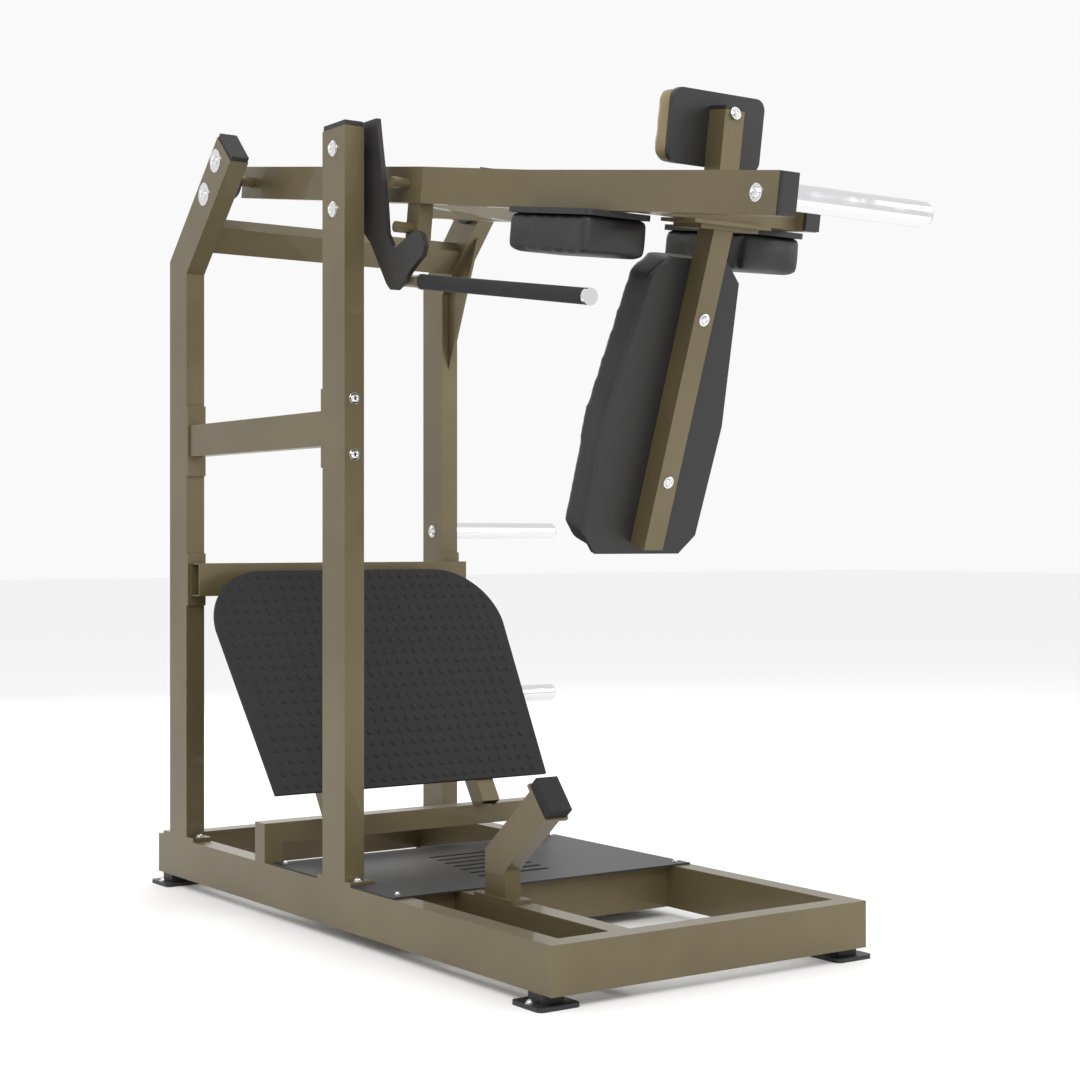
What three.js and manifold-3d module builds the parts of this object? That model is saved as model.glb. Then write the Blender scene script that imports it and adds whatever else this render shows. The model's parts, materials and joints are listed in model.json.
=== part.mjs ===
// Lever hack squat machine: floor frame, rear uprights, swinging lever with pads, hook, inclined foot plate.
// Millimetres. +X right, +Y towards the rear uprights, +Z up. The lever hangs at its raised rest place.
import * as THREE from "three";
import { mergeVertices } from "three/addons/utils/BufferGeometryUtils.js";
import Module from "manifold-3d";

const wasm = await Module();
wasm.setup();

// Driving dimensions
const gap = 0.3;
const wall = 3;
const base = { width: 827, length: 1790, low: 27.4, railWide: 50, railHigh: 100 };
const arm = { wide: 40, deep: 80, tilt: THREE.MathUtils.degToRad(8.7), inset: 118, shift: 62 };
const armRun = { rear: 55, bendA: -830, bendB: -1148, front: -1946, rightFront: -1545, rightRear: -1140 };
const pivot = { y: 1484, z: 1812, pinR: 12.5 };
const upright = { y0: 1620, y1: 1721, bendZ: 1606, reach: 376, crossAt: 89 };
const post = { y0: 798, y1: 900, top: 1829 };
const foot = { size: 100, thick: 9, out: 25 };
const plate = { thick: 8, radius: 170, length: 632, out: 15 };
const ramp = { y: 1165, z: 289, angle: THREE.MathUtils.degToRad(57) };
const deck = { y0: 590, y1: 1155, thick: 4, notch: 66 };
const horn = { r: 25, length: 365, storeY: 1672, storeZ: [454, 925] };
const pad = { wide: 161, long: 290, thick: 76, board: 12, centreInset: 207, y: -1310 };
const back = { wide: 310, topWide: 228, corner: 42, long: 640, thick: 78, board: 14, lean: THREE.MathUtils.degToRad(10.8), tube: 50 };
const head = { wide: 240, high: 150, thick: 48, board: 12, tube: 50, tubeHigh: 142 };
const hook = { x0: 63, thick: 12, pinY: 849, pinZ: 1783, gripR: 16.5, gripLong: 610 };
const stop = { x: 200, y: 463, bendZ: 214, reach: 215, angle: THREE.MathUtils.degToRad(40) };

const railTop = base.low + base.railHigh;
const middle = base.width / 2;
const rightX = (x) => base.width - x;

// Materials
const paint = (color, roughness, metalness) => new THREE.MeshStandardMaterial({ color, roughness, metalness });
const gold = paint(0x6c5d3a, 0.45, 0.6);
const black = paint(0x242424, 0.5, 0.1);
const chrome = paint(0xd0d0d0, 0.15, 1);
const leather = paint(0x202020, 0.6, 0);
const rubber = paint(0x1c1c1c, 0.85, 0);

const machine = new THREE.Group();
const lever = new THREE.Group();
lever.position.set(0, pivot.y, pivot.z);
lever.rotation.x = arm.tilt;
machine.add(lever);

function addMesh(name, geometry, material, parent = machine) {
  const mesh = new THREE.Mesh(geometry, material);
  mesh.name = name;
  parent.add(mesh);
  return mesh;
}

// Planes: a shape's first and second directions, and the direction it is extruded in.
const planes = {
  XY: new THREE.Matrix4(),
  YZ: new THREE.Matrix4().makeBasis(
    new THREE.Vector3(0, 1, 0), new THREE.Vector3(0, 0, 1), new THREE.Vector3(1, 0, 0)),
  XZ: new THREE.Matrix4().makeBasis(
    new THREE.Vector3(1, 0, 0), new THREE.Vector3(0, 0, 1), new THREE.Vector3(0, -1, 0)),
};

function slab(plane, shape, centre, thick) {
  const geometry = new THREE.ExtrudeGeometry(shape, { depth: thick, bevelEnabled: false, curveSegments: 6 });
  geometry.translate(0, 0, (plane === "XZ" ? -centre : centre) - thick / 2);
  return geometry.applyMatrix4(planes[plane]);
}

const outline = (points) => new THREE.Shape(points.map(([u, v]) => new THREE.Vector2(u, v)));

function solid(geometry) {
  const bare = geometry.clone();
  bare.deleteAttribute("normal");
  bare.deleteAttribute("uv");
  const merged = mergeVertices(bare, 1e-4);
  const triVerts = merged.index ? new Uint32Array(merged.index.array) : undefined;
  return new wasm.Manifold(new wasm.Mesh({ numProp: 3, vertProperties: merged.attributes.position.array, triVerts }));
}

function geometryOf(manifold) {
  const mesh = manifold.getMesh();
  const geometry = new THREE.BufferGeometry();
  geometry.setAttribute("position", new THREE.BufferAttribute(new Float32Array(mesh.vertProperties), 3));
  geometry.setIndex(new THREE.BufferAttribute(new Uint32Array(mesh.triVerts), 1));
  return geometry;
}

// Welded pieces as one body.
function welded(...geometries) {
  return geometryOf(geometries.map(solid).reduce((a, b) => a.add(b)));
}

function block(x0, x1, y0, y1, z0, z1) {
  const geometry = new THREE.BoxGeometry(x1 - x0, y1 - y0, z1 - z0);
  return geometry.translate((x0 + x1) / 2, (y0 + y1) / 2, (z0 + z1) / 2);
}

// The band of a given depth around a centre line, mitred at its bends; extra lengthens both ends.
function band(line, depth, extra = 0) {
  const points = line.map(([u, v]) => new THREE.Vector2(u, v));
  const last = points.length - 1;
  const way = (i) => points[i + 1].clone().sub(points[i]).normalize();
  points[0].addScaledVector(way(0), -extra);
  points[last].addScaledVector(way(last - 1), extra);
  const side = (sign) => points.map((point, i) => {
    const before = way(Math.max(0, i - 1));
    const after = way(Math.min(last - 1, i));
    const across = new THREE.Vector2(-before.y - after.y, before.x + after.x).normalize();
    const half = depth / 2 / across.dot(new THREE.Vector2(-after.y, after.x));
    return point.clone().addScaledVector(across, sign * half);
  });
  return new THREE.Shape([...side(-1), ...side(1).reverse()]);
}

// A rectangular hollow tube along a bent line in one plane, with an optional list of cutting boxes.
function tube(plane, line, depth, centre, wide, cuts = []) {
  const outer = solid(slab(plane, band(line, depth), centre, wide));
  const inner = solid(slab(plane, band(line, depth - 2 * wall, 5), centre, wide - 2 * wall));
  let made = outer.subtract(inner);
  for (const cut of cuts) made = made.subtract(solid(cut));
  return geometryOf(made);
}

// A round bar along X, Y or Z between two places on that axis.
function bar(axis, radius, a, b, p, q, sides = 20) {
  const geometry = new THREE.CylinderGeometry(radius, radius, b - a, sides);
  const mid = (a + b) / 2;
  if (axis === "X") return geometry.rotateZ(Math.PI / 2).translate(mid, p, q);
  if (axis === "Y") return geometry.translate(p, mid, q);
  return geometry.rotateX(Math.PI / 2).translate(p, q, mid);
}

// A plain rounded rectangle.
function roundRect(u0, v0, u1, v1, r) {
  const shape = new THREE.Shape();
  shape.moveTo(u0 + r, v0).lineTo(u1 - r, v0).absarc(u1 - r, v0 + r, r, -Math.PI / 2, 0, false);
  shape.lineTo(u1, v1 - r).absarc(u1 - r, v1 - r, r, 0, Math.PI / 2, false);
  shape.lineTo(u0 + r, v1).absarc(u0 + r, v1 - r, r, Math.PI / 2, Math.PI, false);
  shape.lineTo(u0, v0 + r).absarc(u0 + r, v0 + r, r, Math.PI, Math.PI * 1.5, false);
  return shape;
}

function addFloorFrame() {
  const w = base.railWide;
  const z = base.low + base.railHigh / 2;
  const rail = (name, line, centre = z) =>
    addMesh(name, tube("XY", line, w, centre, base.railHigh), gold);
  for (const [name, x] of [["rail_left", 0], ["rail_right", base.width - w]]) {
    const drain = block(x + 19, x + 31, 200, 212, base.low - 5, base.low + 20);
    const body = tube("XY", [[x + w / 2, 0], [x + w / 2, base.length]], w, z, base.railHigh, [drain]);
    const ends = [0, base.length - wall].map((y) => block(x, x + w, y, y + wall, base.low, railTop));
    addMesh(name, welded(body, ...ends), gold);
  }
  rail("rail_front", [[w, w / 2], [rightX(w), w / 2]]);
  rail("rail_rear", [[w, base.length - w / 2], [rightX(w), base.length - w / 2]]);
  rail("rail_cross", [[w, deck.y0 + w], [rightX(w), deck.y0 + w]]);
  rail("rail_inner", [[stop.x, w], [stop.x, deck.y0 + w / 2]]);
  for (const [name, x, y] of [
    ["foot_front_left", 0, 55], ["foot_front_right", base.width, 55],
    ["foot_rear_left", 0, base.length - 55], ["foot_rear_right", base.width, base.length - 55]]) {
    const inner = x ? x - foot.size + foot.out : x - foot.out;
    const plateBody = solid(slab("XY", roundRect(inner, y - foot.size / 2, inner + foot.size, y + foot.size / 2, 12),
      foot.thick / 2, foot.thick));
    const stubX = x ? x - w : x;
    const stub = solid(block(stubX, stubX + w, y - 25, y + 25, foot.thick - 1, base.low));
    addMesh(name, geometryOf(plateBody.add(stub)), black);
  }
}

// The deck is a sheet on the rails, notched for the post, with a plain row of slots.
function addDeck() {
  let sheet = solid(block(2, base.width - 2, deck.y0, deck.y1, railTop, railTop + deck.thick));
  const middlePost = (post.y0 + post.y1) / 2;
  sheet = sheet.subtract(solid(block(-5, deck.notch, middlePost - 80, middlePost + 80, railTop - 5, railTop + 20)));
  const slots = 7;
  for (let i = 0; i < slots; i += 1) {
    const y = deck.y0 + 120 + i * 48;
    const slot = roundRect(middle - 110 + i * 8, y, middle + 90 + i * 8, y + 16, 7.9);
    sheet = sheet.subtract(solid(slab("XY", slot, railTop, 30)));
  }
  addMesh("deck_plate", geometryOf(sheet), black);
}

function addUprights() {
  const y = (upright.y0 + upright.y1) / 2;
  const tip = upright.reach * Math.SQRT1_2;
  for (const [side, x] of [["left", 25], ["right", rightX(25)]]) {
    const line = [[y, railTop + 10], [y, upright.bendZ], [y - tip, upright.bendZ + tip]];
    const flange = block(x - 25, x + 25, y - 90, y + 90, railTop, railTop + 10);
    addMesh(`upright_${side}`, welded(tube("YZ", line, 100, x, 50), flange), gold);
    const cap = band([[y - tip - gap, upright.bendZ + tip + gap], [y - tip - 9, upright.bendZ + tip + 9]], 96);
    addMesh(`upright_cap_${side}`, slab("YZ", cap, x, 46), black);
  }
  const rib = outline([[y - 51, 1380], [y - 51, 1580], [y - 195, 1724]]);
  addMesh("rib_right", slab("YZ", rib, rightX(25), 8), gold);
  const crossY = y - upright.crossAt - 14;
  const crossZ = upright.bendZ + upright.crossAt - 14;
  const shape = band([[crossY + 28, crossZ - 28], [crossY - 28, crossZ + 28]], 40);
  addMesh("upper_cross_tube", slab("YZ", shape, middle, base.width - 100), gold);
}

function addPost() {
  const y = (post.y0 + post.y1) / 2;
  const column = tube("YZ", [[y, railTop + 10], [y, post.top]], post.y1 - post.y0, 25, 50);
  addMesh("post_left", welded(column, block(0, 60, y - 76, y + 76, railTop, railTop + 10)), gold);
  addMesh("post_cap", block(2, 48, post.y0 + 2, post.y1 - 2, post.top, post.top + 12), black);
  const z = 1155;
  const rear = upright.y0;
  const ends = [post.y1, rear - 8].map((y0) => block(0, 50, y0, y0 + 8, z - 90, z + 90));
  const drain = block(19, 31, 1200, 1212, z - 60, z);
  const span = tube("YZ", [[post.y1 + 8, z], [rear - 8, z]], 80, 25, 40, [drain]);
  addMesh("brace_left", welded(span, ...ends), gold);
  addMesh("hook_pivot_spacer", bar("X", 14, 50, hook.x0 - gap, hook.pinY, hook.pinZ), chrome);
}

function addFootPlate() {
  const beam = { y0: upright.y0 - 58, y1: upright.y0 - 8, z0: 757, z1: 841 };
  const beamZ = (beam.z0 + beam.z1) / 2;
  const beamY = (beam.y0 + beam.y1) / 2;
  const across = tube("XZ", [[8, beamZ], [base.width - 8, beamZ]], beam.z1 - beam.z0, beamY, 50);
  const brackets = [25, rightX(25)].map((x) =>
    block(x - 25, x + 25, beam.y1, upright.y0, beam.z0 - 25, beam.z1 + 25));
  addMesh("ramp_beam", welded(across, ...brackets), gold);
  const legX = 25;
  const portal = [[legX, railTop], [legX, railTop + 69], [rightX(legX), railTop + 69], [rightX(legX), railTop]];
  addMesh("ramp_portal", tube("XZ", portal, 50, ramp.y + 45, 50), gold);
  const along = new THREE.Vector2(Math.cos(ramp.angle), Math.sin(ramp.angle));
  const at = (s, n) => [ramp.y + s * along.x + n * along.y, ramp.z + s * along.y - n * along.x];
  const cuts = [block(0, base.width, 1000, 1700, 0, railTop + 69 + 25 + gap),
    block(0, base.width, beam.y0 - gap, 1700, 0, 2000)];
  for (const [side, x] of [["left", 183], ["right", 620]])
    addMesh(`ramp_support_${side}`, tube("YZ", [at(-60, 29), at(plate.length - 5, 29)], 50, x, 50, cuts), gold);
  const board = new THREE.Shape();
  const x0 = -plate.out;
  const x1 = base.width + plate.out;
  const r = plate.radius;
  board.moveTo(18, 0).lineTo(base.width - 18, 0).lineTo(x1, plate.length - r);
  board.absarc(x1 - r, plate.length - r, r, 0, Math.PI / 2, false);
  board.lineTo(x0 + r, plate.length).absarc(x0 + r, plate.length - r, r, Math.PI / 2, Math.PI, false);
  const sheet = new THREE.ExtrudeGeometry(board, { depth: plate.thick, bevelEnabled: false, curveSegments: 12 });
  const tread = new THREE.Mesh(sheet, rubber);
  tread.name = "foot_plate";
  tread.rotation.x = ramp.angle;
  const start = at(0, 4 - gap);
  tread.position.set(0, start[0], start[1]);
  machine.add(tread);
}

function addStop() {
  const way = new THREE.Vector2(-Math.cos(stop.angle), Math.sin(stop.angle));
  const tip = [stop.y + way.x * stop.reach, stop.bendZ + way.y * stop.reach];
  const flange = block(stop.x - 25, stop.x + 25, stop.y - 75, stop.y + 75, railTop, railTop + 8);
  const drain = block(stop.x - 6, stop.x + 6, stop.y, stop.y + 60, railTop + 12, railTop + 24);
  const column = tube("YZ", [[stop.y, railTop + 8], [stop.y, stop.bendZ], tip], 78, stop.x, 40, [drain]);
  const off = (s) => [tip[0] + way.x * s, tip[1] + way.y * s];
  const seat = slab("YZ", band([off(-1), off(8)], 92), stop.x, 60);
  addMesh("stop_post", welded(column, flange, seat), gold);
  addMesh("stop_bumper", slab("YZ", band([off(8 + gap), off(34)], 84), stop.x, 54), rubber);
}

function addStorageHorns() {
  const x = base.width;
  for (const [name, z] of [["lower", horn.storeZ[0]], ["upper", horn.storeZ[1]]])
    addMesh(`storage_horn_${name}`, hornAlong(x, horn.length, horn.storeY, z), chrome);
}

// A turned bar along X with a rounded free end.
function hornAlong(x, length, y, z) {
  const r = horn.r;
  const profile = [[0, 0], [r, 0], [r, length - 8], [r - 2.5, length - 2.5], [r - 8, length], [0, length]];
  const lathe = new THREE.LatheGeometry(profile.map(([u, v]) => new THREE.Vector2(u, v)), 32);
  return lathe.rotateZ(-Math.PI / 2).translate(x, y, z);
}

function addBearings() {
  for (const [side, x0, x1] of [["left", 50, 68], ["right", base.width - 68, base.width - 50]]) {
    const ring = solid(bar("X", 46, x0, x1, pivot.y, pivot.z, 28))
      .subtract(solid(bar("X", pivot.pinR + 1, x0 - 5, x1 + 5, pivot.y, pivot.z, 20)));
    addMesh(`bearing_${side}`, geometryOf(ring), black);
  }
}

function addLeverArms() {
  const half = arm.wide / 2;
  const outerX = arm.inset + half;
  const innerX = outerX + arm.shift;
  const mainLine = [[outerX, armRun.rear], [outerX, armRun.bendA], [innerX, armRun.bendB], [innerX, armRun.front]];
  addMesh("arm_left", tube("XY", mainLine, arm.wide, 0, arm.deep), gold, lever);
  const frontX = rightX(innerX);
  const frontLine = [[frontX, armRun.rightRear], [frontX, armRun.rightFront]];
  addMesh("arm_right_front", tube("XY", frontLine, arm.wide, 0, arm.deep), gold, lever);
  const rearX = rightX(outerX);
  const cut = block(0, outerX + half + gap, -2000, 100, -100, 100);
  const rearLine = [[rearX, armRun.rear], [rearX, -340], [outerX, -760]];
  addMesh("arm_right_rear", tube("XY", rearLine, arm.wide, 0, arm.deep, [cut]), gold, lever);
  for (const [name, x, y] of [["arm_cap_left", innerX, armRun.front], ["arm_cap_right", frontX, armRun.rightFront]])
    addMesh(name, block(x - half + 1, x + half - 1, y - 10, y - gap, -arm.deep / 2 + 1, arm.deep / 2 - 1), black, lever);
  const from = innerX + half + gap;
  const to = frontX - half - gap;
  const crossY = armRun.rightFront + 43;
  addMesh("arm_cross_tube", tube("XY", [[from, crossY], [to, crossY]], 50, 0, arm.deep - 2 * gap), gold, lever);
  const pins = [["left", 50 + gap, arm.inset - gap], ["right", rightX(arm.inset - gap), rightX(50 + gap)]];
  for (const [side, a, b] of pins) addMesh(`pivot_pin_${side}`, bar("X", pivot.pinR, a, b, 0, 0), gold, lever);
  addMesh("lever_horn", hornAlong(innerX + half + gap, 392, -1888, 0), chrome, lever);
  addPegs(outerX - half);
  addBracket(crossY);
  addHeadRest(crossY);
}

function addPegs(face) {
  const low = -arm.deep / 2 - gap;
  addMesh("peg_stub", block(face + 2, face + arm.wide - 2, -826, -776, low - 92, low), gold, lever);
  const reach = hook.x0 + hook.thick + 1;
  addMesh("peg_upper", bar("X", 12.5, reach, face - gap, -770, 2, 16), gold, lever);
  addMesh("peg_lower", bar("X", 12.5, reach, face + 2 - gap, -801, -96, 16), gold, lever);
}

// Two plates under the cross tube carry the leaning back pad tube.
function addBracket(crossY) {
  const low = -arm.deep / 2;
  const under = low - 17 - gap;
  const upper = block(middle - 100, middle + 100, crossY - 55, crossY + 55, low - 8, low - gap);
  const lower = block(middle - 75, middle + 75, crossY - 45, crossY + 45, low - 17, low - 8);
  addMesh("back_bracket", welded(upper, lower), gold, lever);
  const way = [Math.sin(back.lean), -Math.cos(back.lean)];
  const at = (s, n) => [crossY + way[0] * s - way[1] * n, under + way[1] * s + way[0] * n];
  const cut = [block(0, base.width, -3000, 3000, under, 1000)];
  addMesh("back_tube", tube("YZ", [at(-30, 0), at(680, 0)], back.tube, middle, back.tube, cut), gold, lever);
  const start = 66;
  const shape = backOutline();
  const boardAt = back.tube / 2 + gap;
  const leaned = (from, thick) => {
    const [y, z] = at(start, from);
    const basis = new THREE.Matrix4().makeBasis(
      new THREE.Vector3(1, 0, 0), new THREE.Vector3(0, ...way), new THREE.Vector3(0, -way[1], way[0]));
    basis.setPosition(middle, y, z);
    return new THREE.ExtrudeGeometry(shape, { depth: thick, bevelEnabled: false }).applyMatrix4(basis);
  };
  addMesh("back_board", leaned(boardAt, back.board), black, lever);
  addMesh("back_cushion", leaned(boardAt + back.board + gap, back.thick), leather, lever);
}

// The back pad is narrower at the top, with cut corners; v runs from the top edge down.
function backOutline() {
  const half = back.wide / 2;
  const topHalf = back.topWide / 2;
  const [cut, long] = [back.corner, back.long];
  const right = [[topHalf - cut, 0], [topHalf, cut], [half, long * 0.55], [half - 6, long - cut], [half - cut, long]];
  return outline([...right, ...right.map(([u, v]) => [-u, v]).reverse()]);
}

function addHeadRest(crossY) {
  const top = arm.deep / 2;
  addMesh("head_tube", tube("YZ", [[crossY, top + gap], [crossY, top + head.tubeHigh]], head.tube, middle, 50), gold, lever);
  const capZ = top + head.tubeHigh + gap;
  addMesh("head_tube_cap", block(middle - 23, middle + 23, crossY - 23, crossY + 23, capZ, capZ + 8), black, lever);
  const y0 = crossY + head.tube / 2 + gap;
  const z0 = top + 28;
  const x0 = middle - head.wide / 2;
  const plateShape = roundRect(x0, z0, x0 + head.wide, z0 + head.high, 24);
  addMesh("head_board", slab("XZ", plateShape, y0 + head.board / 2, head.board), black, lever);
  const softY = y0 + head.board + gap + head.thick / 2;
  addMesh("head_cushion", slab("XZ", plateShape, softY, head.thick), leather, lever);
}

function addShoulderPads() {
  for (const [side, x] of [["left", pad.centreInset], ["right", rightX(pad.centreInset)]]) {
    const top = -arm.deep / 2 - gap;
    const shape = roundRect(x - pad.wide / 2, pad.y - pad.long / 2, x + pad.wide / 2, pad.y + pad.long / 2, 14);
    addMesh(`shoulder_board_${side}`, slab("XY", shape, top - pad.board / 2, pad.board), black, lever);
    const softZ = top - pad.board - gap - pad.thick / 2;
    addMesh(`shoulder_pad_${side}`, slab("XY", shape, softZ, pad.thick), leather, lever);
  }
}

// The hook plate hangs beside the post; its grip runs forward beside the lever arm.
function addHook() {
  const shape = outline([[875, 1845], [766, 1845], [756, 1790], [744, 1730], [730, 1650], [722, 1582], [700, 1552],
    [682, 1546], [625, 1566], [600, 1573], [574, 1563], [563, 1535], [572, 1515], [612, 1494], [663, 1460],
    [684, 1452], [706, 1455], [723, 1470], [793, 1570], [875, 1640]]);
  addMesh("hook_plate", slab("YZ", shape, hook.x0 + hook.thick / 2, hook.thick), black);
  const nutX = hook.x0 + hook.thick;
  const rod = new THREE.Group();
  rod.position.set(nutX + gap + hook.gripR, 668, 1473);
  rod.rotation.x = arm.tilt;
  machine.add(rod);
  addMesh("hook_rod", welded(bar("Y", hook.gripR - 2, -49, 20, 0, 0),
    bar("Y", hook.gripR + 1, -56, -48, 0, 0)), gold, rod);
  addMesh("hook_grip", bar("Y", hook.gripR, -56 - gap - hook.gripLong, -56 - gap, 0, 0), rubber, rod);
  const end = -57 - hook.gripLong;
  addMesh("hook_ring_front", bar("Y", hook.gripR + 1, end - 9, end, 0, 0), chrome, rod);
}

addFloorFrame();
addDeck();
addUprights();
addPost();
addFootPlate();
addStop();
addStorageHorns();
addBearings();
addLeverArms();
addShoulderPads();
addHook();

// The frame's origin is under the middle of the whole machine, on the floor.
const box = new THREE.Box3().setFromObject(machine, true);
machine.position.set(-(box.min.x + box.max.x) / 2, -(box.min.y + box.max.y) / 2, -box.min.z);

const part = new THREE.Group();
part.add(machine);
export default part;
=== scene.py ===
"""Studio scene for the lever hack squat machine: looks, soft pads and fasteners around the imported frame."""
import json
import math

import bmesh
import bpy
from mathutils import Matrix, Vector


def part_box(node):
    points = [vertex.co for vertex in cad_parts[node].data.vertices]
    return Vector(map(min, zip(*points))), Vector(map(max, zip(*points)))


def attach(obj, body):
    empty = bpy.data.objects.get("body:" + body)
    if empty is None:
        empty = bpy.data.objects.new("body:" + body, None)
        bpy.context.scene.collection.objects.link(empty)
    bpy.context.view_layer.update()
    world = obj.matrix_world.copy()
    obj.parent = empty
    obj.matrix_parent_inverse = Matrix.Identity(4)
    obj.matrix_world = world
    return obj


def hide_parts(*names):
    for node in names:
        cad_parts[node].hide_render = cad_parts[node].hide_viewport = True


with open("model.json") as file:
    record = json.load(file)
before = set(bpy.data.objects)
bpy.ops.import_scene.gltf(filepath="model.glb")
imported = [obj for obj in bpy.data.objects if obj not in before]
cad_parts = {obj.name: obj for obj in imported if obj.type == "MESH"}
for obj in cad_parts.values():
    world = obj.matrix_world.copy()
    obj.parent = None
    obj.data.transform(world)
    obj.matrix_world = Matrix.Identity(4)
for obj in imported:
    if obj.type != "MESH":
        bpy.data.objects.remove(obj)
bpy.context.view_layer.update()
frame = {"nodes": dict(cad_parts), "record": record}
nodes = frame["nodes"]
MM = 0.001
UP, FRONT, REAR = (0, 0, 1), (0, -1, 0), (0, 1, 0)
LEFT, RIGHT = (-1, 0, 0), (1, 0, 0)
RAMP_ANGLE = math.radians(57)
RAMP_THICK = 8 * MM
RAMP_CORNER = 170 * MM
POST_BOLT_HEIGHTS = (1.783, 1.646)
FLANGE_THICK = 10 * MM
FOOT_THICK = 9 * MM
BACK_LEAN, HEAD_LEAN = 19.5, -8.7
CAMERA_PLACE = (-2.781, -3.755, 0.9006)
CAMERA_TURN = -35.1
CAMERA_LENS = 66.3


# ---------- materials ----------
def new_material(name, color, roughness, metallic=0.0, **extra):
    """A Principled material and the tools to add to it."""
    mat = bpy.data.materials.new("look_" + name)
    mat.use_nodes = True
    tree = mat.node_tree
    shader = tree.nodes["Principled BSDF"]
    shader.inputs["Base Color"].default_value = (*color, 1)
    shader.inputs["Roughness"].default_value = roughness
    shader.inputs["Metallic"].default_value = metallic
    for key, value in extra.items():
        shader.inputs[key.replace("_", " ")].default_value = value
    return mat, tree, shader


def texture(tree, kind, scale, **values):
    """A procedural texture in object space."""
    coords = tree.nodes.new("ShaderNodeTexCoord")
    node = tree.nodes.new(kind)
    tree.links.new(coords.outputs["Object"], node.inputs["Vector"])
    node.inputs["Scale"].default_value = scale
    for key, value in values.items():
        node.inputs[key].default_value = value
    return node


def vary(tree, shader, source, low, high, socket):
    """A colour or grey ramp from source between low and high."""
    ramp = tree.nodes.new("ShaderNodeValToRGB")
    ramp.color_ramp.elements[0].position = 0.35
    ramp.color_ramp.elements[1].position = 0.65
    ramp.color_ramp.elements[0].color = (*low, 1)
    ramp.color_ramp.elements[1].color = (*high, 1)
    tree.links.new(source, ramp.inputs["Fac"])
    tree.links.new(ramp.outputs["Color"], shader.inputs[socket])


def bump(tree, shader, source, strength, distance):
    node = tree.nodes.new("ShaderNodeBump")
    node.inputs["Strength"].default_value = strength
    node.inputs["Distance"].default_value = distance
    tree.links.new(source, node.inputs["Height"])
    tree.links.new(node.outputs["Normal"], shader.inputs["Normal"])


def gold_paint():
    mat, tree, shader = new_material("gold_paint", (0.13, 0.1, 0.05), 0.42, 0.45, Coat_Weight=0.25)
    flake = texture(tree, "ShaderNodeTexNoise", 900, Detail=3)
    cloud = texture(tree, "ShaderNodeTexNoise", 4, Detail=2)
    vary(tree, shader, cloud.outputs["Fac"], (0.118, 0.092, 0.045), (0.14, 0.11, 0.054), "Base Color")
    vary(tree, shader, flake.outputs["Fac"], (0.36,) * 3, (0.5,) * 3, "Roughness")
    bump(tree, shader, flake.outputs["Fac"], 0.2, 0.0004)
    return mat


def black_paint():
    mat, tree, shader = new_material("black_paint", (0.011, 0.011, 0.011), 0.5)
    grain = texture(tree, "ShaderNodeTexNoise", 700, Detail=3)
    vary(tree, shader, grain.outputs["Fac"], (0.42,) * 3, (0.58,) * 3, "Roughness")
    bump(tree, shader, grain.outputs["Fac"], 0.2, 0.0004)
    return mat


def chrome():
    mat, tree, shader = new_material("chrome", (0.72, 0.72, 0.73), 0.12, 1.0)
    smear = texture(tree, "ShaderNodeTexNoise", 30, Detail=6)
    vary(tree, shader, smear.outputs["Fac"], (0.08,) * 3, (0.2,) * 3, "Roughness")
    return mat


def bronze_leather():
    mat, tree, shader = new_material("bronze_leather", (0.2, 0.155, 0.075), 0.5)
    grain = texture(tree, "ShaderNodeTexVoronoi", 420)
    cloud = texture(tree, "ShaderNodeTexNoise", 9, Detail=4)
    vary(tree, shader, cloud.outputs["Fac"], (0.19, 0.15, 0.07), (0.22, 0.17, 0.085), "Base Color")
    bump(tree, shader, grain.outputs["Distance"], 0.35, 0.0008)
    return mat


def leather():
    mat, tree, shader = new_material("leather", (0.01, 0.01, 0.01), 0.5)
    grain = texture(tree, "ShaderNodeTexVoronoi", 420)
    cloud = texture(tree, "ShaderNodeTexNoise", 9, Detail=4)
    vary(tree, shader, cloud.outputs["Fac"], (0.007,) * 3, (0.012,) * 3, "Base Color")
    bump(tree, shader, grain.outputs["Distance"], 0.35, 0.0008)
    return mat


def rubber():
    mat, tree, shader = new_material("rubber", (0.009, 0.009, 0.009), 0.8)
    grain = texture(tree, "ShaderNodeTexNoise", 500, Detail=4)
    vary(tree, shader, grain.outputs["Fac"], (0.7,) * 3, (0.88,) * 3, "Roughness")
    bump(tree, shader, grain.outputs["Fac"], 0.4, 0.0006)
    return mat


LOOKS = {make.__name__: make() for make in (gold_paint, black_paint, chrome, bronze_leather, leather, rubber)}


def dress_nodes():
    """Each CAD node gets its slot's material, and rounded edges where it is painted."""
    slots = {row["node"]: row["material_slot"] for row in frame["record"]["subparts"]}
    for name, obj in nodes.items():
        obj.data.materials.clear()
        obj.data.materials.append(LOOKS[slots[name]])
        if "horn" in name or "pin" in name or "grip" in name:
            obj.data.shade_smooth()
        edge = obj.modifiers.new("edge", "BEVEL")
        edge.width = 1.2 * MM
        edge.segments = 2
        edge.limit_method = "ANGLE"
        edge.angle_limit = math.radians(40)


# ---------- pieces ----------
def finish_piece(name, bm, look, body):
    mesh = bpy.data.meshes.new(name)
    bm.to_mesh(mesh)
    bm.free()
    obj = bpy.data.objects.new(name, mesh)
    bpy.context.scene.collection.objects.link(obj)
    mesh.materials.append(LOOKS[look])
    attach(obj, body)
    return obj


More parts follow.
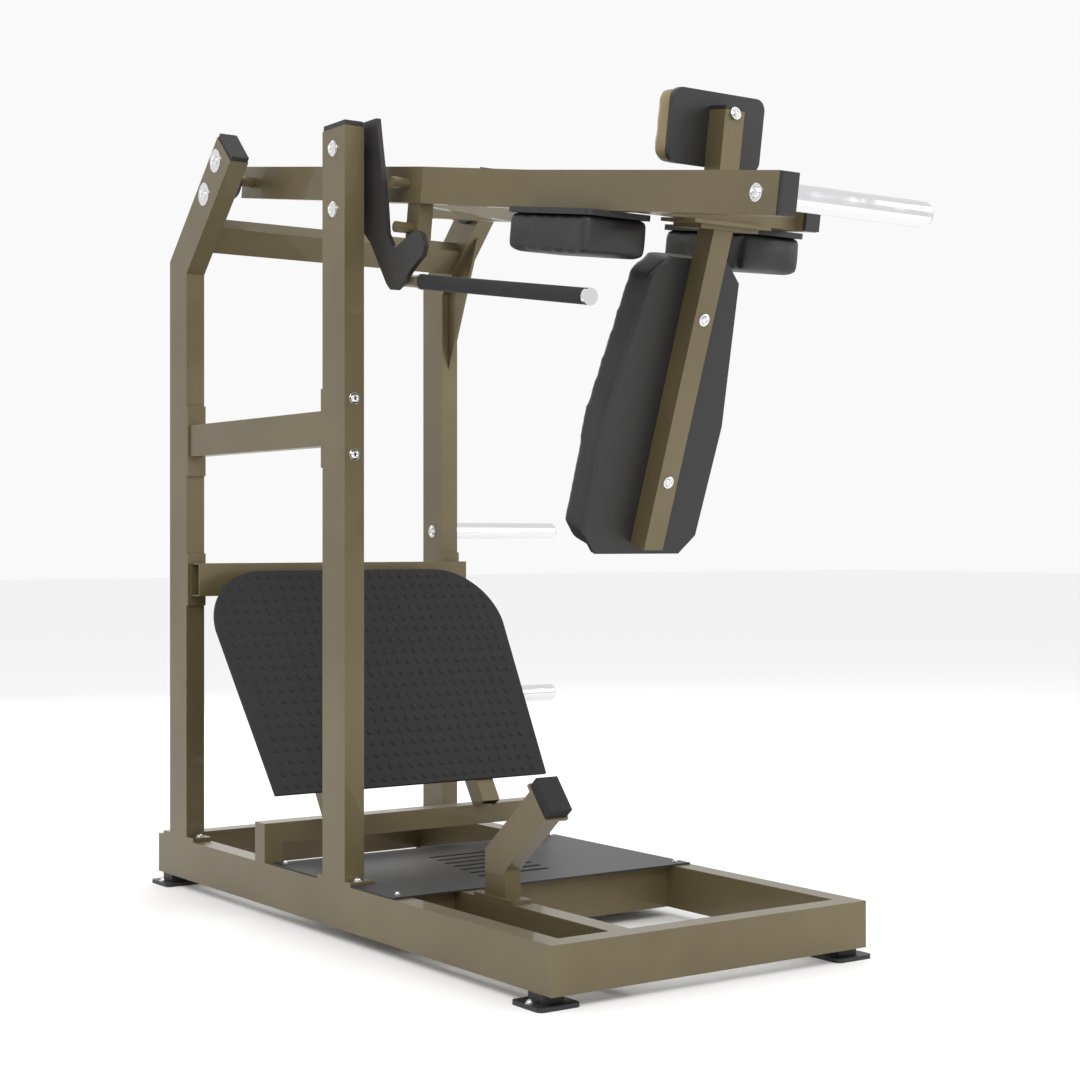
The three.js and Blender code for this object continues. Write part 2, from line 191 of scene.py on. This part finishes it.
def turned(bm, place, profile, sides):
    """Adds a body turned round place's Z axis from a profile of (radius, height)."""
    rings = []
    for radius, height in profile:
        ring = []
        for i in range(sides):
            angle = 2 * math.pi * i / sides
            point = Vector((radius * math.cos(angle), radius * math.sin(angle), height))
            ring.append(bm.verts.new(place @ point))
        rings.append(ring)
    for low, high in zip(rings, rings[1:]):
        for i in range(sides):
            j = (i + 1) % sides
            bm.faces.new((low[i], low[j], high[j], high[i]))
    bm.faces.new(reversed(rings[0]))
    bm.faces.new(rings[-1])


def facing(point, normal):
    """A place at point whose Z axis is normal."""
    turn = Vector((0, 0, 1)).rotation_difference(Vector(normal)).to_matrix().to_4x4()
    return Matrix.Translation(Vector(point)) @ turn


def bolts(name, body, places, radius=9 * MM, washer=13 * MM, look="chrome"):
    """Button-head bolts on washers, as one piece."""
    bm = bmesh.new()
    for point, normal in places:
        place = facing(point, normal)
        turned(bm, place, [(washer, 0), (washer, 1.8 * MM), (washer - 0.6 * MM, 2.2 * MM)], 28)
        dome = [(radius, 2.3 * MM), (radius, 4 * MM), (radius * 0.85, 6 * MM), (radius * 0.55, 7.2 * MM)]
        turned(bm, place, dome + [(radius * 0.45, 7.2 * MM), (radius * 0.4, 5 * MM)], 24)
    return finish_piece(name, bm, look, body)


def soft_pad(node, body, look="leather"):
    """A leather cushion from a pad's solid: remeshed, swollen as cloth and smoothed."""
    lo, hi = (Vector(corner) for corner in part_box(node))
    pad = bpy.data.objects.new(node + "_soft", nodes[node].data.copy())
    bpy.context.scene.collection.objects.link(pad)
    pad.data.materials.clear()
    pad.data.materials.append(LOOKS[look])
    centre = (lo + hi) / 2
    for vertex in pad.data.vertices:
        vertex.co = centre + (vertex.co - centre) * 0.99
    remesh = pad.modifiers.new("remesh", "REMESH")
    remesh.mode = "VOXEL"
    remesh.voxel_size = 7 * MM
    smooth = pad.modifiers.new("smooth", "SMOOTH")
    smooth.factor = 0.6
    smooth.iterations = 9
    graph = bpy.context.evaluated_depsgraph_get()
    mesh = bpy.data.meshes.new_from_object(pad.evaluated_get(graph))
    pad.modifiers.clear()
    pad.data = mesh
    mesh.materials.clear()
    mesh.materials.append(LOOKS[look])
    mesh.shade_smooth()
    swell(pad)
    relax = pad.modifiers.new("relax", "SMOOTH")
    relax.factor = 0.5
    relax.iterations = 6
    fine = pad.modifiers.new("fine", "SUBSURF")
    fine.levels = fine.render_levels = 1
    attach(pad, body)
    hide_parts(node)


def swell(pad, cap=3 * MM):
    """Cloth pressure for twenty frames, with each point's move capped."""
    before = [vertex.co.copy() for vertex in pad.data.vertices]
    cloth = pad.modifiers.new("cloth", "CLOTH")
    cloth.settings.use_pressure = True
    cloth.settings.uniform_pressure_force = 4
    cloth.settings.effector_weights.gravity = 0
    scene = bpy.context.scene
    for step in range(1, 21):
        scene.frame_set(step)
    graph = bpy.context.evaluated_depsgraph_get()
    mesh = bpy.data.meshes.new_from_object(pad.evaluated_get(graph))
    pad.modifiers.clear()
    for vertex, old in zip(mesh.vertices, before):
        move = vertex.co - old
        if move.length > cap:
            vertex.co = old + move.normalized() * cap
    pad.data = mesh
    mesh.shade_smooth()
    scene.frame_set(1)


def tread_domes():
    """Rows of low rubber domes over the foot plate's front face."""
    angle = RAMP_ANGLE
    thick = RAMP_THICK
    lo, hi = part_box("foot_plate")
    length = (hi[2] - lo[2] - thick * math.cos(angle)) / math.sin(angle)
    start = Vector(((lo[0] + hi[0]) / 2, lo[1] + thick * math.sin(angle), lo[2]))
    along = Vector((0, math.cos(angle), math.sin(angle)))
    out = Vector((0, -math.sin(angle), math.cos(angle)))
    half = (hi[0] - lo[0]) / 2
    corner = RAMP_CORNER
    rows, columns = 19, 27
    pitch, margin = 30 * MM, 12 * MM
    dome = [(7 * MM, 0), (6.2 * MM, 1.5 * MM), (4 * MM, 2.6 * MM), (1.5 * MM, 3 * MM)]
    bm = bmesh.new()
    for row in range(rows):
        s = length * (row + 0.6) / (rows + 0.2)
        for column in range(columns):
            x = (column - (columns - 1) / 2) * pitch
            edge = half - 48 * MM + 33 * MM * min(1, s / (length - corner)) - margin
            over = s - (length - corner)
            if over > 0:
                edge = half - corner + math.sqrt(max(0, (corner - margin) ** 2 - over * over))
            if abs(x) > edge:
                continue
            place = facing(start + along * s + out * thick + Vector((x, 0, 0)), out)
            turned(bm, place, dome, 12)
    finish_piece("tread_domes", bm, "rubber", "frame")


def fasteners():
    post_lo, post_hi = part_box("post_left")
    up_lo, up_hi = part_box("upright_left")
    right_lo, right_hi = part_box("upright_right")
    brace_lo, brace_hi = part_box("brace_left")
    bearing = (Vector(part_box("bearing_left")[0]) + Vector(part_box("bearing_left")[1])) / 2
    post_y = (post_lo[1] + post_hi[1]) / 2
    for side, x, normal in (("left", up_lo[0], LEFT), ("right", right_hi[0], RIGHT)):
        places = [((x, bearing.y - s * 33 * MM, bearing.z + s * 37 * MM), normal) for s in (-1, 1)]
        bolts(f"bearing_bolts_{side}", "frame", places, 12 * MM, 29 * MM)
    heads = [((up_lo[0], post_y, z), LEFT) for z in POST_BOLT_HEIGHTS]
    bolts("post_side_bolts", "frame", heads, 17 * MM, 18 * MM)
    middle = (post_lo[0] + post_hi[0]) / 2 - 5 * MM
    heights = (brace_lo[2] + 27 * MM, brace_hi[2] - 27 * MM)
    bolts("brace_front_bolts", "frame", [((middle, post_y - 51 * MM, z), FRONT) for z in heights])
    bolts("brace_rear_bolts", "frame", [((middle, brace_hi[1] + 101 * MM, z), REAR) for z in heights])
    flange_z = post_lo[2] + FLANGE_THICK
    places = [((middle, post_y + s * 63 * MM, flange_z), UP) for s in (-1, 1)]
    bolts("post_flange_bolts", "frame", places, 8 * MM, 11 * MM)
    column_y = brace_hi[1] + 50 * MM
    for side, x in (("left", up_lo[0] + 25 * MM), ("right", right_hi[0] - 25 * MM)):
        places = [((x, column_y + s * 75 * MM, flange_z), UP) for s in (-1, 1)]
        bolts(f"upright_flange_bolts_{side}", "frame", places, 8 * MM, 11 * MM)
    for name in ("foot_front_left", "foot_front_right", "foot_rear_left", "foot_rear_right"):
        lo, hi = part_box(name)
        x = lo[0] + 12 * MM if "left" in name else hi[0] - 12 * MM
        bolts(name + "_bolt", "frame", [((x, (lo[1] + hi[1]) / 2, FOOT_THICK), UP)], 7 * MM, 10 * MM)
    for name in ("storage_horn_lower", "storage_horn_upper"):
        lo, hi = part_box(name)
        place = ((right_lo[0], (lo[1] + hi[1]) / 2, (lo[2] + hi[2]) / 2), LEFT)
        bolts(name + "_bolt", "frame", [place], 13 * MM, 17 * MM)
    lo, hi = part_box("lever_horn")
    place = ((lo[0] - 40.3 * MM, (lo[1] + hi[1]) / 2, (lo[2] + hi[2]) / 2), LEFT)
    bolts("lever_horn_bolt", "lever", [place], 11 * MM, 17 * MM)
    tube_bolts("back_tube_bolts", "back_tube", (0.27, 0.78), BACK_LEAN)
    tube_bolts("head_tube_bolt", "head_tube", (0.14,), HEAD_LEAN)
    lo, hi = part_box("deck_plate")
    inset = 25 * MM
    xs, ys = ((lo[i] + inset, hi[i] - inset) for i in (0, 1))
    corners = [((x, y, hi[2]), UP) for x in xs for y in ys]
    bolts("deck_screws", "frame", corners, 5 * MM, 7 * MM)


def tube_bolts(name, node, shares, lean):
    """Bolts down the middle of a leaning tube's front face; shares run from its top, 0, to its foot, 1."""
    angle = math.radians(lean)
    lo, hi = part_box(node)
    normal = Vector((0, -math.cos(angle), -math.sin(angle)))
    verts = [vertex.co for vertex in nodes[node].data.vertices]
    reach = max(v.dot(normal) for v in verts)
    along = Vector((0, math.sin(angle), -math.cos(angle)))
    top, low = min(v.dot(along) for v in verts), max(v.dot(along) for v in verts)
    middle = Vector(((lo[0] + hi[0]) / 2, 0, 0))
    places = []
    for share in shares:
        s = top + (low - top) * share
        places.append((middle + along * s + normal * reach, normal))
    bolts(name, "lever", places)


def studio():
    scene = bpy.context.scene
    floor_mat, _, _ = new_material("studio_floor", (0.93, 0.93, 0.93), 0.95)
    mesh = bpy.data.meshes.new("studio_floor")
    r = 40
    mesh.from_pydata([(-r, -r, 0), (r, -r, 0), (r, r, 0), (-r, r, 0)], [], [(0, 1, 2, 3)])
    mesh.materials.append(floor_mat)
    floor = bpy.data.objects.new("studio_floor", mesh)
    scene.collection.objects.link(floor)
    world = bpy.data.worlds.new("studio")
    scene.world = world
    world.use_nodes = True
    world.node_tree.nodes["Background"].inputs["Color"].default_value = (1, 1, 1, 1)
    world.node_tree.nodes["Background"].inputs["Strength"].default_value = 0.95
    for name, place, size, power in (
            ("key", (-3.5, -4.5, 4.5), 3, 200), ("fill", (4.5, -3, 3), 3, 80), ("back", (1, 5, 4), 4, 120)):
        light = bpy.data.lights.new(name, "AREA")
        light.size = size
        light.energy = power
        obj = bpy.data.objects.new(name, light)
        obj.location = place
        obj.rotation_euler = (Vector((0, 0, 0.9)) - Vector(place)).to_track_quat("-Z", "Y").to_euler()
        scene.collection.objects.link(obj)
    scene.view_settings.view_transform = "Standard"
    camera = bpy.data.cameras.new("camera")
    camera.lens = CAMERA_LENS
    camera.sensor_width = 36
    obj = bpy.data.objects.new("camera", camera)
    obj.location = CAMERA_PLACE
    obj.rotation_euler = (math.radians(90), 0, math.radians(CAMERA_TURN))
    scene.collection.objects.link(obj)
    scene.camera = obj


dress_nodes()
for pad_node, tightness in (("back_cushion", 0.8), ("shoulder_pad_left", 0.85), ("shoulder_pad_right", 0.85)):
    soft_pad(pad_node, "lever")
soft_pad("head_cushion", "lever", "bronze_leather")
tread_domes()
fasteners()
studio()
